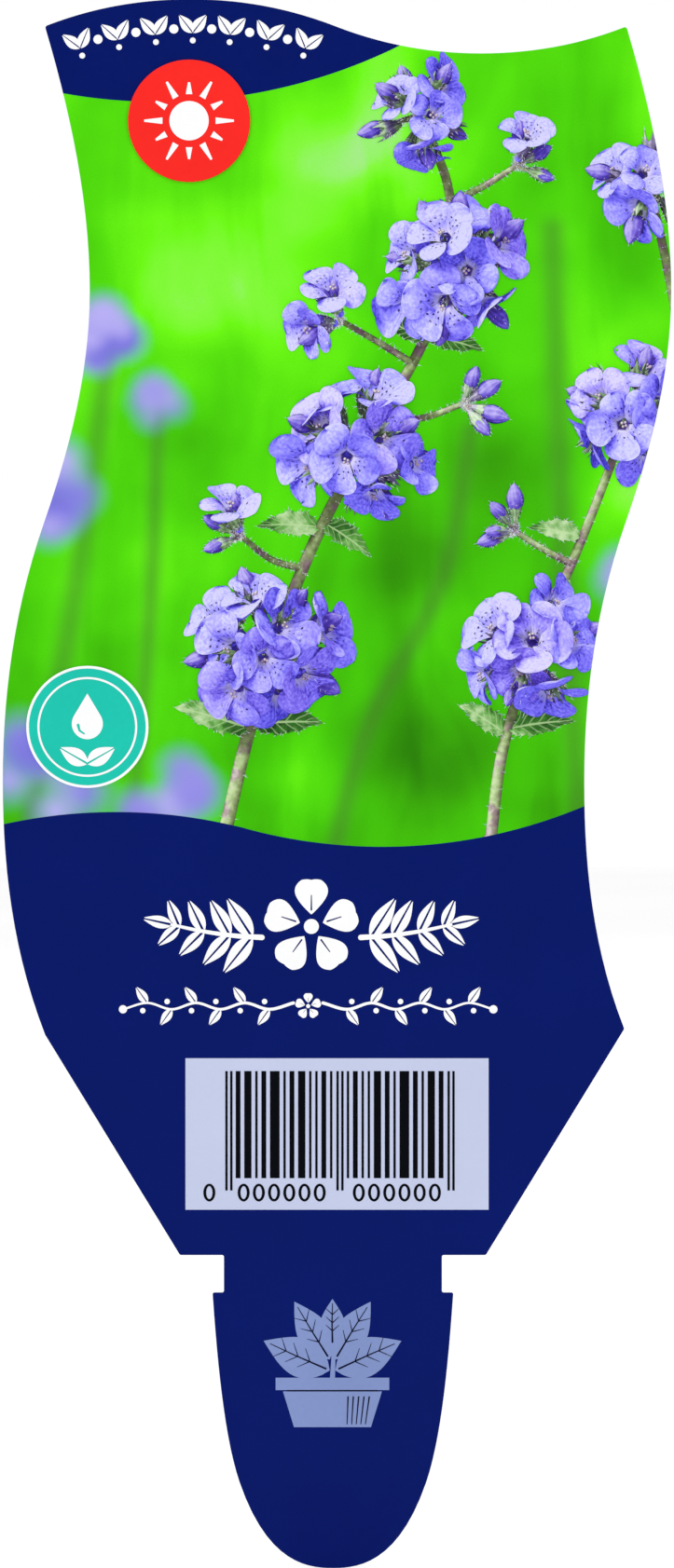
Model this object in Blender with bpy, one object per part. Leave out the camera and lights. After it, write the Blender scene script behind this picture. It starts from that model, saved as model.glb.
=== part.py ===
"""A stick-in plant label: one die-cut sheet of white polypropylene that stands on a barbed tongue.

Run with: blender --background --python part.py
Metres, +Z up. The origin is on the sheet's front face, in the middle of the neck, at the height
of the shoulders that rest on a pot's rim. The tongue is below it and the body above it.
"""

import math

import bpy
from mathutils import Vector

MM = 0.001

# The sheet
SHEET_THICKNESS = 0.5 * MM
CORNER_RADIUS = 0.3 * MM
NOTCH_CORNER_RADIUS = 0.2 * MM
CURVE_STEPS = 14
SHEET_COLOUR = (0.87, 0.88, 0.88, 1.0)
SHEET_ROUGHNESS = 0.42

# The body, seen from the front: its right side is its left side's wave, moved across
SIDE_SPACING = 63.5 * MM
LEFT_SIDE_WAVE = (
    # height above the shoulders, distance to the right of the middle, slope
    (24.0 * MM, -31.4 * MM, -0.388),
    (51.7 * MM, -36.05 * MM, 0.0),
    (80.0 * MM, -31.55 * MM, 0.348),
    (105.3 * MM, -26.55 * MM, 0.0),
    (134.25 * MM, -31.45 * MM, -0.294),
)

# The top edge: one whole wave of equal swings between the two upper corners
TOP_WAVE_SWING = 2.96 * MM
TOP_WAVE_SLOPE = 0.39

# The taper, the shoulders and the neck
TAPER_SLOPE = 0.612
SHOULDER_SPAN = 33.4 * MM
NECK_WIDTH = 23.8 * MM
NOTCH_HEIGHT = 4.1 * MM

# The tongue
BARB_SPAN = 26.3 * MM
BARB_LEAN = 0.07
BARB_HANDLE = 6.6 * MM
BEND_FROM_MIDDLE = 10.2 * MM
BEND_DEPTH = 24.8 * MM
BEND_LEAN = 0.33
BEND_UPPER_HANDLE = 5.4 * MM
BEND_LOWER_HANDLE = 9.6 * MM
TONGUE_LENGTH = 34.2 * MM
TIP_HANDLE = 2.6 * MM


def flat(across, height):
    """A point of the flat drawing, which is stood upright at the end."""
    return Vector((across, height, 0.0))


def wave_points(stations, place):
    """Control points (handle back, point, handle ahead) through stations of (run, height, slope)."""
    points = []
    for index, (run, height, slope) in enumerate(stations):
        before = 0.0
        after = 0.0
        if index > 0:
            before = (run - stations[index - 1][0]) / 3
        if index < len(stations) - 1:
            after = (stations[index + 1][0] - run) / 3
        back = place(run - before, height - slope * before)
        ahead = place(run + after, height + slope * after)
        points.append([back, place(run, height), ahead])
    return points


def reversed_points(points):
    """The same control points walked the other way."""
    return [[ahead, point, back] for back, point, ahead in reversed(points)]


def mirrored_points(points):
    """The control points of the other half, walked on from the last one."""
    def flip(point):
        return flat(-point.x, point.y)

    return [[flip(ahead), flip(point), flip(back)] for back, point, ahead in reversed(points)]


def straight_corner(across, height):
    """A corner whose handles are set by its neighbours."""
    point = flat(across, height)
    return [point, point, point]


def bend(across, height, lean, back, ahead):
    """A smooth point walked downwards, leaning in towards the middle by an angle."""
    heading = flat(-math.sin(lean), -math.cos(lean))
    point = flat(across, height)
    return [point - heading * back, point, point + heading * ahead]


def aim_at_neighbours(points):
    """Give every handle that still lies on its point a third of the way to the next point."""
    for index, node in enumerate(points):
        before = points[index - 1][1]
        after = points[(index + 1) % len(points)][1]
        if node[0] == node[1]:
            node[0] = node[1].lerp(before, 1 / 3)
        if node[2] == node[1]:
            node[2] = node[1].lerp(after, 1 / 3)


def round_corner(node, radius):
    """Two control points in place of a corner, joined by an arc that meets both of its sides."""
    back, corner, ahead = node
    arriving = (corner - back).normalized()
    leaving = (ahead - corner).normalized()
    turn = arriving.angle(leaving)
    if turn < math.radians(5):
        return [node]
    trim = radius * math.tan(turn / 2)
    reach = radius * math.tan(turn / 4) * 4 / 3
    start = corner - arriving * trim
    end = corner + leaving * trim
    return [[back, start, start + arriving * reach], [end - leaving * reach, end, ahead]]


def height_where_side_meets_taper(shift, side_sign):
    """The height at which a side's wave, near straight down there, crosses the slanting taper."""
    height, across, slope = LEFT_SIDE_WAVE[0]
    wave_at_zero = across + shift - slope * height
    taper_at_zero = side_sign * SHOULDER_SPAN / 2
    return (wave_at_zero - taper_at_zero) / (side_sign * TAPER_SLOPE - slope)


def side_points(shift, side_sign):
    """One side of the body from its taper corner up to its top corner."""
    height = height_where_side_meets_taper(shift, side_sign)
    first_height, first_across, first_slope = LEFT_SIDE_WAVE[0]
    corner = (height, first_across + first_slope * (height - first_height), first_slope)
    stations = (corner,) + LEFT_SIDE_WAVE[1:]
    return wave_points(stations, lambda run, across: flat(across + shift, run))


def top_points():
    """The top edge from its left corner to its right corner: up, down and back."""
    height, start, _ = LEFT_SIDE_WAVE[-1]
    quarter = SIDE_SPACING / 4
    stations = (
        (start, height, TOP_WAVE_SLOPE),
        (start + quarter, height + TOP_WAVE_SWING, 0.0),
        (start + 2 * quarter, height, -TOP_WAVE_SLOPE),
        (start + 3 * quarter, height - TOP_WAVE_SWING, 0.0),
        (start + 4 * quarter, height, TOP_WAVE_SLOPE),
    )
    return wave_points(stations, flat)


def joined(first, second):
    """Two stretches that share a corner: the corner keeps a handle of each."""
    corner = [first[-1][0], first[-1][1], second[0][2]]
    return first[:-1] + [corner] + second[1:]


def stake_half():
    """The right half of the neck and the tongue, walked down from the shoulder to the tip."""
    tip = flat(0.0, -TONGUE_LENGTH)
    heading = flat(-math.sin(BARB_LEAN), -math.cos(BARB_LEAN))
    barb = flat(BARB_SPAN / 2, -NOTCH_HEIGHT)
    return [
        straight_corner(SHOULDER_SPAN / 2, 0.0),
        straight_corner(NECK_WIDTH / 2, 0.0),
        straight_corner(NECK_WIDTH / 2, -NOTCH_HEIGHT),
        [barb, barb, barb + heading * BARB_HANDLE],
        bend(BEND_FROM_MIDDLE, -BEND_DEPTH, BEND_LEAN, BEND_UPPER_HANDLE, BEND_LOWER_HANDLE),
        [tip + flat(TIP_HANDLE, 0.0), tip, tip - flat(TIP_HANDLE, 0.0)],
    ]


def outline():
    """The label's whole edge, clockwise from the left taper corner, with every corner rounded."""
    left = side_points(0.0, -1)
    right = reversed_points(side_points(SIDE_SPACING, 1))
    body = joined(joined(left, top_points()), right)
    half = stake_half()
    points = body + half + mirrored_points(half[:-1])
    aim_at_neighbours(points)
    rounded = []
    for node in points:
        in_notch = abs(node[1].x) < SHOULDER_SPAN / 2 - MM and abs(node[1].y) < NOTCH_HEIGHT + MM
        radius = NOTCH_CORNER_RADIUS if in_notch else CORNER_RADIUS
        rounded += round_corner(node, radius)
    return rounded


def sheet_material():
    """White polypropylene, a little silky."""
    material = bpy.data.materials.new("white_polypropylene")
    material.use_nodes = True
    shader = material.node_tree.nodes["Principled BSDF"]
    shader.inputs["Base Color"].default_value = SHEET_COLOUR
    shader.inputs["Roughness"].default_value = SHEET_ROUGHNESS
    shader.inputs["Metallic"].default_value = 0.0
    return material


def label_sheet():
    """The sheet: the drawn outline, filled, as thick as the plastic and stood upright."""
    points = outline()
    curve = bpy.data.curves.new("label_sheet", "CURVE")
    curve.dimensions = "2D"
    curve.fill_mode = "BOTH"
    curve.extrude = SHEET_THICKNESS / 2
    curve.resolution_u = CURVE_STEPS
    spline = curve.splines.new("BEZIER")
    spline.bezier_points.add(len(points) - 1)
    spline.use_cyclic_u = True
    for control, (back, point, ahead) in zip(spline.bezier_points, points):
        control.handle_left_type = "FREE"
        control.handle_right_type = "FREE"
        control.co = point
        control.handle_left = back
        control.handle_right = ahead
    curve.materials.append(sheet_material())
    sheet = bpy.data.objects.new("label_sheet", curve)
    sheet.rotation_euler = (math.pi / 2, 0.0, 0.0)
    sheet.location = (0.0, SHEET_THICKNESS / 2, 0.0)
    return sheet


def main():
    for item in list(bpy.data.objects):
        bpy.data.objects.remove(item, do_unlink=True)
    collection = bpy.data.collections.new("plant_label")
    bpy.context.scene.collection.children.link(collection)
    collection.objects.link(label_sheet())


main()
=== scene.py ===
"""The looks of a stick-in plant label: print, varnish, sheet, floor, light and camera.

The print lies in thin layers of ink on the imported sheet: the design on its front, a few care marks on
its back. It is laid out in millimetres from the frame's origin, with x to the right and z up, as the
front is read. Everything that goes into the scene is in metres.
"""

import random
from math import acos, asin, atan2, cos, log, pi, radians, sin, sqrt, tau

import bpy
import numpy as np
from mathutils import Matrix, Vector
from mathutils.bvhtree import BVHTree
from mathutils.geometry import delaunay_2d_cdt


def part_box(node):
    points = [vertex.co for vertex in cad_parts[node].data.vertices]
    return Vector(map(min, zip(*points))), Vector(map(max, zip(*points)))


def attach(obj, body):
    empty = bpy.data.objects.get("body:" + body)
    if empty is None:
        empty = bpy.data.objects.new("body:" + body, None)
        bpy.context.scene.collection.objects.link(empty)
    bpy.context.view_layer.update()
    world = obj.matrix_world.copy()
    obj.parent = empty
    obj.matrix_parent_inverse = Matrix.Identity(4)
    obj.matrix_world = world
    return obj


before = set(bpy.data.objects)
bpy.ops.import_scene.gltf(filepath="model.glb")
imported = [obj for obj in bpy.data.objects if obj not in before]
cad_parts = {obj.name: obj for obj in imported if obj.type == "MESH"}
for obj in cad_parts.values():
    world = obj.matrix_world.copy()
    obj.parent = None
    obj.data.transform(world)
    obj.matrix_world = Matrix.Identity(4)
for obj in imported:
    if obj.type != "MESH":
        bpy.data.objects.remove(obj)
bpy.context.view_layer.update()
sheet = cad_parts["label_sheet"]
sheet_low, sheet_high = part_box("label_sheet")

MM = 0.001

# Ink layers, each a step in front of the one below
INK_STEP = 0.02 * MM
GROUND_LEVEL = 1
FIELD_LEVEL = 2
SHAPE_LEVEL = 3
MARK_LEVEL = 4
DISC_LEVEL = 13
PICTURE_RELIEF = 0.2 * MM

# A bright tent of light: what it gives, how it looks, and what shows in gloss
SKY_LIGHT = 0.87
SKY_SEEN = 1.0
SKY_MIRRORED = 0.08
WHITE_LIGHT = (1.0, 1.0, 1.0, 1.0)
FLOOR_GLOW = 0.19
LAMP_SIZE = 0.7

# The photograph, which the label fills from edge to edge, with the frame's origin in it
PIXEL_SIZE = 0.1018 * MM
PHOTO_PIXELS = (723, 1683)
ORIGIN_PIXEL = (357.1, 1347.05)

# Boundaries of the printed fields, arcs of one radius each
BAND_ARC_RADIUS = 59.3
BAND_LOWEST = (-19.0, 126.0)
WAVE_ARC_RADIUS = 57.0
WAVE_CREST = (-23.7, 48.4)
WAVE_TROUGH = (5.4, 44.6)

# Printed marks, boxes as left, foot, right and top
DISC_RADIUS = 6.67
RED_DISC = (-15.7, 123.9)
TEAL_DISC = (-26.8, 57.7)
DISC_RIM = 0.3
TITLE_CENTRE = (-2.35, 35.9)
SUBTITLE_CENTRE = (-2.7, 27.2)
PANEL = (-16.1, 4.95, 17.0, 21.5)
BARS = (-11.75, 8.4, 13.3, 20.1)
GUARD_DROP = 1.35
EMBLEM_FOOT = (-0.05, -18.8)

# The picture's plants are modelled in the round, a viewer in front and the key light above left
VIEWER = np.array([0.0, -1.0, 0.0])
KEY_LIGHT = np.array([-0.48, -0.62, 0.62])
GOLDEN_TURN = pi * (3 - sqrt(5))
LEAF_FACING = np.array([0.2, -1.0, 0.5])
PART_INKS = {
    "petals": "petal", "tubes": "petal", "stamens": "anther", "sepals": "calyx",
    "buds": "bud", "leaves": "leaf", "stems": "stem", "hairs": "hair",
}
GROUND_PITCH = 0.45


def ink(red, green, blue, strength=1.0):
    """Screen values as the linear colour that a shader needs."""
    linear = []
    for value in (red, green, blue):
        value /= 255
        value = value / 12.92 if value <= 0.04045 else ((value + 0.055) / 1.055) ** 2.4
        linear.append(min(1.0, value * strength))
    return (*linear, 1.0)


class Value:
    """A number or colour from a node: arithmetic on it lays the nodes that work the result out."""

    def __init__(self, nodes, socket):
        self.nodes = nodes
        self.socket = socket

    def __add__(self, other):
        return self.nodes.math("ADD", self, other)

    def __sub__(self, other):
        return self.nodes.math("SUBTRACT", self, other)

    def __mul__(self, other):
        return self.nodes.math("MULTIPLY", self, other)

    def __truediv__(self, other):
        return self.nodes.math("DIVIDE", self, other)

    def between(self, low, high, to_low=0.0, to_high=1.0):
        """The place from low to high, smoothed, as a number from to_low to to_high."""
        inputs = dict(enumerate((self, low, high, to_low, to_high)))
        return self.nodes.node("MapRange", 0, inputs, interpolation_type="SMOOTHSTEP")


class Nodes:
    """Short ways to lay the nodes of a material or a world."""

    def __init__(self, owner):
        owner.use_nodes = True
        self.owner = owner
        self.tree = owner.node_tree

    def feed(self, node, inputs):
        """Links or sets inputs of a node, by their names or numbers."""
        for key, value in inputs.items():
            if isinstance(value, Value):
                self.tree.links.new(value.socket, node.inputs[key])
            else:
                node.inputs[key].default_value = value

    def node(self, kind, output, inputs, **settings):
        """Lays a node and gives one of its outputs."""
        made = self.tree.nodes.new("ShaderNode" + kind)
        for key, value in settings.items():
            setattr(made, key, value)
        self.feed(made, inputs)
        return Value(self, made.outputs[output])

    def math(self, operation, first, second=0.0):
        return self.node("Math", 0, {0: first, 1: second}, operation=operation)


class Finish(Nodes):
    """A material in the making."""

    def __init__(self, name, specular=0.06):
        super().__init__(bpy.data.materials.new(name))
        self.shader = self.tree.nodes["Principled BSDF"]
        self.feed(self.shader, {"Specular IOR Level": specular})
        self.place = self.node("TexCoord", "Object", {})

    def attribute(self, name):
        return self.node("Attribute", "Fac", {}, attribute_name=name)

    def combine(self, x, y, z):
        return self.node("CombineXYZ", 0, {0: x, 1: y, 2: z})

    def mix(self, factor, first, second):
        return self.node("Mix", 2, {0: factor, 6: first, 7: second}, data_type="RGBA")

    def noise(self, scale, detail=2.0, vector=None, distortion=0.0):
        inputs = {"Vector": vector or self.place, "Scale": scale, "Detail": detail, "Distortion": distortion}
        return self.node("TexNoise", "Fac", inputs)

    def mottle(self, amount, *noise, margin=0.3, **more):
        """Noise as a number from minus the amount to the amount."""
        return self.noise(*noise, **more).between(margin, 1 - margin, -amount, amount)

    def ramp(self, value, *stops):
        """A colour ramp of stops, each a place and a screen colour, at times with its strength."""
        made = self.tree.nodes.new("ShaderNodeValToRGB")
        elements = made.color_ramp.elements
        while len(elements) < len(stops):
            elements.new(0.5)
        for element, (place, *colour) in zip(elements, stops):
            element.position = place
            element.color = ink(*colour)
        self.feed(made, {"Fac": value})
        return Value(self, made.outputs["Color"])

    def varnished(self, colour, strength=0.05, low=0.34, high=0.46):
        """The material in a colour, under a thin coat with fine unevenness in gloss and surface."""
        gloss = self.noise(900, 3).between(0.3, 0.7, low, high)
        surface = {"Strength": strength, "Distance": 0.02 * MM, "Height": self.noise(2600)}
        bump = self.node("Bump", 0, surface)
        self.feed(self.shader, {"Base Color": colour, "Roughness": gloss, "Normal": bump})
        return self.owner


def stock_finish():
    """Bare white polypropylene: a silky film with faint clouding."""
    finish = Finish("white_polypropylene_film", specular=0.35)
    cloud = finish.noise(60, 3) + finish.mottle(0.06, 1400)
    colour = finish.ramp(cloud, (0.3, 229, 231, 234), (0.7, 234, 235, 238))
    return finish.varnished(colour, 0.08, 0.38, 0.5)


def ink_finish(name, colour, variation):
    """A solid printed ink: near even, with the slight mottle of ink on film."""
    finish = Finish(f"{name}_ink")
    mottle = finish.noise(90, 4) + finish.noise(1800) * 0.3
    deep, light = (0.45, *colour, 1 - variation), (0.85, *colour, 1 + variation)
    return finish.varnished(finish.ramp(mottle, deep, light))


def ground_finish():
    """The picture's soft ground: lime light, grass shade, blurred stems and blurred blossoms."""
    finish = Finish("picture_ground_ink")
    stretch = {"Vector": finish.place, "Rotation": (0, 0.5, 0), "Scale": (90, 1, 26)}
    blades = finish.node("Mapping", 0, stretch)
    tone = finish.attribute("tone") + finish.mottle(0.09, 1.0, 3, blades, 0.6)
    tone = tone + finish.mottle(0.08, 70) + finish.mottle(0.012, 5200, margin=0.2)
    greens = finish.ramp(
        tone, (0.0, 30, 92, 0), (0.18, 40, 126, 0), (0.36, 56, 164, 0), (0.52, 68, 198, 0),
        (0.68, 84, 224, 4), (0.82, 108, 248, 14), (0.92, 132, 248, 60), (1.0, 166, 236, 138),
    )
    violets = finish.ramp(
        finish.attribute("violet_tone"),
        (0.0, 84, 84, 196), (0.45, 132, 126, 226), (1.0, 196, 186, 250),
    )
    stems = finish.mix(finish.attribute("stem"), greens, ink(74, 120, 40))
    return finish.varnished(finish.mix(finish.attribute("violet"), stems, violets))


def petal_finish():
    """Violet-blue petals: light, veins, a pale eye, dark flecks and a fine crumpled surface."""
    finish = Finish("picture_petal_ink")
    along, across, tone, lit = (finish.attribute(name) for name in ("along", "across", "tone", "lit"))
    place = finish.combine(across * 1.6, along * 3.2, tone * 40.0)
    wave = across / (along + 0.35) * 15.0 + finish.noise(2.0, 2, place) * 2.4
    veins = finish.math("SINE", wave).between(0.45, 1.0) * along.between(0.95, 0.15)
    light = lit + finish.mottle(0.11, 3.4, 4, place) + finish.mottle(0.035, 4200, margin=0.25)
    light = light - veins * 0.14
    cool = finish.ramp(
        light, (0.0, 38, 28, 124), (0.2, 74, 64, 208), (0.4, 118, 108, 246),
        (0.6, 150, 143, 255), (0.8, 182, 178, 255), (1.0, 216, 214, 255),
    )
    warm = finish.ramp(
        light, (0.0, 52, 28, 120), (0.2, 92, 66, 198), (0.4, 136, 112, 238),
        (0.6, 168, 150, 253), (0.8, 196, 184, 255), (1.0, 228, 220, 255),
    )
    petal = finish.mix(tone.between(0.35, 1.0, 0.0, 0.75), cool, warm)
    eye = along.between(0.3, 0.06) * lit.between(0.1, 0.6, 0.25, 0.8)
    petal = finish.mix(eye, petal, ink(238, 232, 252))
    spots = {"Vector": finish.combine(across * 2.6, along * 8.0, tone), "Scale": 1.0}
    flecks = finish.node("TexVoronoi", "Distance", spots).between(0.3, 0.16)
    fleck_zone = along.between(0.1, 0.2) * along.between(0.62, 0.4)
    petal = finish.mix(flecks * fleck_zone, petal, ink(62, 44, 128))
    return finish.varnished(finish.mix(along.between(0.09, 0.02), petal, ink(58, 40, 108)))


def leaf_finish():
    """Grey-green leaves with a pale midrib and side veins."""
    finish = Finish("picture_leaf_ink")
    spread = finish.math("ABSOLUTE", finish.attribute("across"))
    slanted = finish.attribute("along") * 44.0 - spread * 10.0
    side_veins = finish.math("SINE", slanted).between(0.7, 1.0, 0.0, 0.6)
    veins = finish.math("MAXIMUM", spread.between(0.12, 0.03), side_veins) * 0.7
    light = finish.attribute("lit") + finish.mottle(0.12, 1300, 3)
    greens = finish.ramp(
        light, (0.0, 24, 58, 22), (0.3, 54, 112, 40), (0.6, 104, 168, 78), (1.0, 196, 226, 170)
    )
    return finish.varnished(finish.mix(veins, greens, ink(190, 222, 160)))


def lit_finish(name, stops, patch=(), ribs=0.0):
    """A picture ink whose colour follows the drawn light, mottled, at times ribbed or patched."""
    finish = Finish(f"picture_{name}_ink")
    light = finish.attribute("lit") + finish.mottle(0.1, 1500, 3)
    if ribs:
        ten_ribs_round = finish.math("SINE", finish.attribute("across") * (10 * pi))
        light = light + ten_ribs_round * ribs
    colour = finish.ramp(light, *stops)
    if patch:
        where = finish.noise(420).between(0.46, 0.62, 0.0, 0.85)
        colour = finish.mix(where, colour, finish.ramp(light, *patch))
    return finish.varnished(colour)


# Solid inks: a screen colour and how far it varies
SOLID_INKS = {
    "navy": ((0, 21, 103), 0.05), "white": ((253, 253, 254), 0.015), "red": ((253, 42, 36), 0.05),
    "teal": ((31, 200, 178), 0.05), "pale_panel": ((198, 205, 233), 0.02), "black": ((2, 4, 12), 0.3),
    "lilac_grey": ((131, 148, 200), 0.05), "dark_line": ((8, 12, 44), 0.3),
}

# Inks that follow the picture's light: a ramp, at times that of patches, and the strength of ribs
LIT_INKS = {
    "bud": (
        ((0.0, 38, 24, 92), (0.3, 72, 52, 168), (0.6, 118, 98, 218), (1.0, 194, 182, 250)),
        (), 0.07,
    ),
    "calyx": (
        ((0.0, 48, 54, 52), (0.3, 96, 122, 84), (0.6, 156, 190, 138), (1.0, 224, 242, 214)),
        ((0.0, 44, 30, 70), (0.35, 88, 66, 128), (0.7, 150, 128, 186), (1.0, 222, 208, 238)), 0.09,
    ),
    "stem": (
        ((0.0, 50, 56, 34), (0.3, 92, 104, 66), (0.6, 140, 160, 104), (1.0, 206, 232, 170)),
        ((0.0, 52, 34, 52), (0.4, 104, 76, 96), (0.8, 160, 130, 140), (1.0, 214, 196, 200)),
    ),
    "hair": (((0.0, 120, 112, 170), (0.5, 186, 180, 224), (1.0, 244, 246, 246)),),
    "anther": (((0.0, 70, 50, 96), (0.5, 180, 160, 190), (1.0, 246, 238, 226)),),
}

finishes = {"ground": ground_finish(), "petal": petal_finish(), "leaf": leaf_finish()}
finishes |= {name: ink_finish(name, *values) for name, values in SOLID_INKS.items()}
finishes |= {name: lit_finish(name, *values) for name, values in LIT_INKS.items()}


def front_edge():
    """The sheet's edge on its front face, in order, as (x, z) in millimetres."""
    vertices = sheet.data.vertices
    face_y = sheet_low[1] + 0.01 * MM
    sides = set()
    for face in sheet.data.polygons:
        corners = [vertices[index].co for index in face.vertices]
        if all(corner.y < face_y for corner in corners):
            ring = [(round(corner.x / MM, 4), round(corner.z / MM, 4)) for corner in corners]
            sides |= set(zip(ring, ring[1:] + ring[:1]))
    follow = {start: end for start, end in sides if (end, start) not in sides}
    loop = [min(follow)]
    while follow[loop[-1]] != loop[0]:
        loop.append(follow[loop[-1]])
    return loop


def arc_rise(reach, radius):
    """How far an arc has left its crest's tangent, at a reach to the side."""
    return radius - sqrt(radius**2 - reach**2)


def band_height(x):
    """The lower edge of the navy band at the top."""
    reach = min(abs(x - BAND_LOWEST[0]), BAND_ARC_RADIUS)
    return BAND_LOWEST[1] + arc_rise(reach, BAND_ARC_RADIUS)


def wave_height(x):
    """The upper edge of the navy field: an arc over its crest and one under its trough."""
    if x < (WAVE_CREST[0] + WAVE_TROUGH[0]) / 2:
        return WAVE_CREST[1] - arc_rise(x - WAVE_CREST[0], WAVE_ARC_RADIUS)
    return WAVE_TROUGH[1] + arc_rise(x - WAVE_TROUGH[0], WAVE_ARC_RADIUS)


edge = front_edge()


def edge_run(signed):
    """The one run of the edge where signed(x, z) is positive, with its ends where it is zero."""
    values = [signed(x, z) for x, z in edge]
    start = next(i for i, value in enumerate(values) if value > 0 and values[i - 1] <= 0)
    loop = edge[start:] + edge[:start]
    values = values[start:] + values[:start]
    length = next(i for i, value in enumerate(values) if value <= 0)

    def crossing(inside, outside):
        share = values[inside] / (values[inside] - values[outside])
        (x0, z0), (x1, z1) = loop[inside], loop[outside]
        return (x0 + (x1 - x0) * share, z0 + (z1 - z0) * share)

    return [crossing(0, -1)] + loop[:length] + [crossing(length - 1, length)]


def along_curve(height, start, end):
    """Points of a curve from one place to another, without its ends."""
    return [(x, height(x)) for x in np.linspace(start[0], end[0], 62)[1:-1]]


def picture_outline():
    """The picture's ground: what the two navy fields leave of the sheet's front."""
    left, right = (
        edge_run(lambda x, z: min(z - wave_height(x), band_height(x) - z, x * way))[::-1]
        for way in (-1, 1)
    )
    top = along_curve(band_height, left[-1], right[0])
    return left + top + right + along_curve(wave_height, right[-1], left[0])


def new_object(name, data):
    made = bpy.data.objects.new(name, data)
    bpy.context.scene.collection.objects.link(made)
    return made


def keep_piece(name, spots, faces, finish, **marks):
    """Puts a mesh in the scene as a piece that rides with the label, with its ink's marks."""
    mesh = bpy.data.meshes.new(name)
    mesh.from_pydata(spots, [], faces)
    for key, values in marks.items():
        layer = mesh.attributes.new(key, "FLOAT", "POINT")
        layer.data.foreach_set("value", values.astype(np.float32))
    mesh.update()
    mesh.materials.append(finishes[finish])
    piece = new_object(name, mesh)
    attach(piece, "root")
    return piece


def layer_y(level, back=False):
    """The depth of an ink layer, in front of the front face or behind the back face."""
    return sheet_high[1] + level * INK_STEP if back else sheet_low[1] - level * INK_STEP


def inside_ring(points, ring):
    """Which points lie inside a ring."""
    inside = np.zeros(len(points), bool)
    x, z = points[:, 0], points[:, 1]
    for (x0, z0), (x1, z1) in zip(ring, np.roll(ring, -1, axis=0)):
        if z0 != z1:
            crosses = (z0 > z) != (z1 > z)
            inside ^= crosses & (x < (x1 - x0) * (z - z0) / (z1 - z0) + x0)
    return inside


def ring_sides(start, count):
    """The sides of a ring of points, as pairs of their numbers."""
    return [(start + index, start + (index + 1) % count) for index in range(count)]


def triangles_inside(points, sides, shapes):
    """Triangles over the points that keep the given sides and lie inside any shape's rings."""
    merge_distance = 1e-7
    vectors = [Vector(point) for point in points]
    made, _, faces = delaunay_2d_cdt(vectors, sides, [], 0, merge_distance)[:3]
    made = np.array([tuple(point) for point in made])
    faces = np.array([list(face) for face in faces])
    middles = made[faces].mean(1)
    inside = np.zeros(len(faces), bool)
    for rings in shapes:
        inside |= np.logical_xor.reduce([inside_ring(middles, np.array(ring, float)) for ring in rings])
    faces = faces[inside]
    (ax, az), (bx, bz), (cx, cz) = made[faces].transpose(1, 2, 0)
    backward = (bx - ax) * (cz - az) < (bz - az) * (cx - ax)
    faces[backward] = faces[backward][:, ::-1]
    return made, faces


def lay_print(name, shapes, level, finish, back=False, rimmed=False):
    """Flat ink: a shape is a ring of points, or a ring and its holes. A rimmed one reaches the sheet."""
    shapes = [[shape] if np.ndim(shape[0][0]) == 0 else shape for shape in shapes]
    points = []
    sides = []
    for ring in [ring for rings in shapes for ring in rings]:
        sides += ring_sides(len(points), len(ring))
        points += [(float(x), float(z)) for x, z in ring]
    made, faces = triangles_inside(points, sides, shapes)
    faces = (faces[:, ::-1] if back else faces).tolist()
    y = layer_y(level, back)
    spots = [(x * MM, y, z * MM) for x, z in made]
    if rimmed:
        below = len(made)
        faces += [(start, start + below, end + below, end) for start, end in sides]
        spots += [(x, sheet_low[1], z) for x, _, z in spots]
    keep_piece(name, spots, faces, finish)


def unit(vector):
    return vector / np.linalg.norm(vector, axis=-1, keepdims=True)


def arc(centre, radius, turns, stretch=1.0):
    """Points of a circle at the given angles, stretched upwards."""
    x, z = centre
    return [(x + radius * cos(t), z + radius * sin(t) * stretch) for t in turns]


def disc(centre, radius, steps=96, stretch=1.0):
    return arc(centre, radius, np.linspace(0, tau, steps, endpoint=False), stretch)


def ring_shape(centre, outer, inner):
    return [disc(centre, outer), disc(centre, inner)[::-1]]


def box_shape(x0, z0, x1, z1):
    return [(x0, z0), (x1, z0), (x1, z1), (x0, z1)]


def mirrored(upper):
    """A closed shape from its upper edge, whose ends lie on the axis."""
    return upper + [(x, -z) for x, z in upper[-2:0:-1]]


def placed(points, base, angle):
    """Points turned by an angle and moved to a base."""
    cosine, sine = cos(angle), sin(angle)
    return [(base[0] + x * cosine - z * sine, base[1] + x * sine + z * cosine) for x, z in points]


def heading(start, end):
    """The angle of the way from one point to another."""
    return atan2(end[1] - start[1], end[0] - start[0])


def leaf_rim(length, width, gap, steps):
    """The upper edge of a leaf along +x, whose midrib is a gap."""
    belly = log(0.5) / log(0.42)
    shares = [step / steps for step in range(steps + 1)]
    return [(s * length, gap / 2 + width / 2 * sin(pi * s**belly)) for s in shares]


def leaf_shape(base, angle, length, width):
    """A whole leaf."""
    return placed(mirrored(leaf_rim(length, width, 0.0, 14)), base, angle)


def split_leaf(base, angle, length, width, gap, steps=14):
    """A leaf as two halves with a gap for its midrib."""
    upper = leaf_rim(length, width, gap, steps) + [(length * 0.96, gap * 0.3), (length * 0.1, gap / 2)]
    return [placed([(x, side * z) for x, z in upper], base, angle) for side in (1, -1)]


def leaf_pair(base, angle, lean, *sizes):
    """Two split leaves that lean away from an angle to both sides."""
    return split_leaf(base, angle - lean, *sizes) + split_leaf(base, angle + lean, *sizes)


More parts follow.
